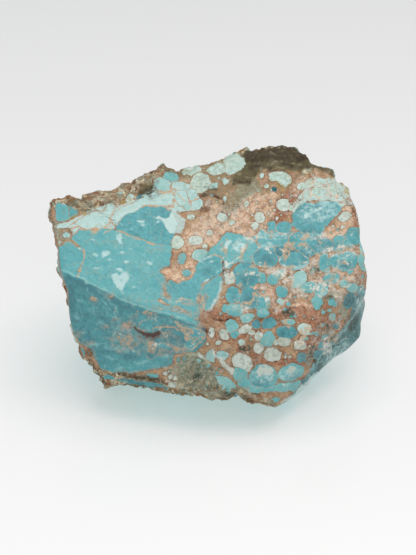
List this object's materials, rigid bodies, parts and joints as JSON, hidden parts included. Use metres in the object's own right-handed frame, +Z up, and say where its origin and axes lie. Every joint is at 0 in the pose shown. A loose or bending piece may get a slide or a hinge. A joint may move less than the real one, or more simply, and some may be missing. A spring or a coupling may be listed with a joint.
{
  "type": "raw turquoise nugget",
  "caption": "Rough broken lump of turquoise in pink-brown host rock, with a flat patch underneath that it rests on.",
  "frame": {"origin": "on the resting surface, under the middle of the stone's bounding box", "axes": "+X along the stone's length, +Y away from the broken face that shows the turquoise, +Z up"},
  "size_m": [0.0614, 0.0412, 0.0416],
  "materials": {
    "turquoise_rock": "broken stone: smooth waxy turquoise with dull pink and brown host rock between and around it"
  },
  "bodies": {
    "root": {"turquoise_stone": "turquoise_rock"}
  },
  "joints": []
}
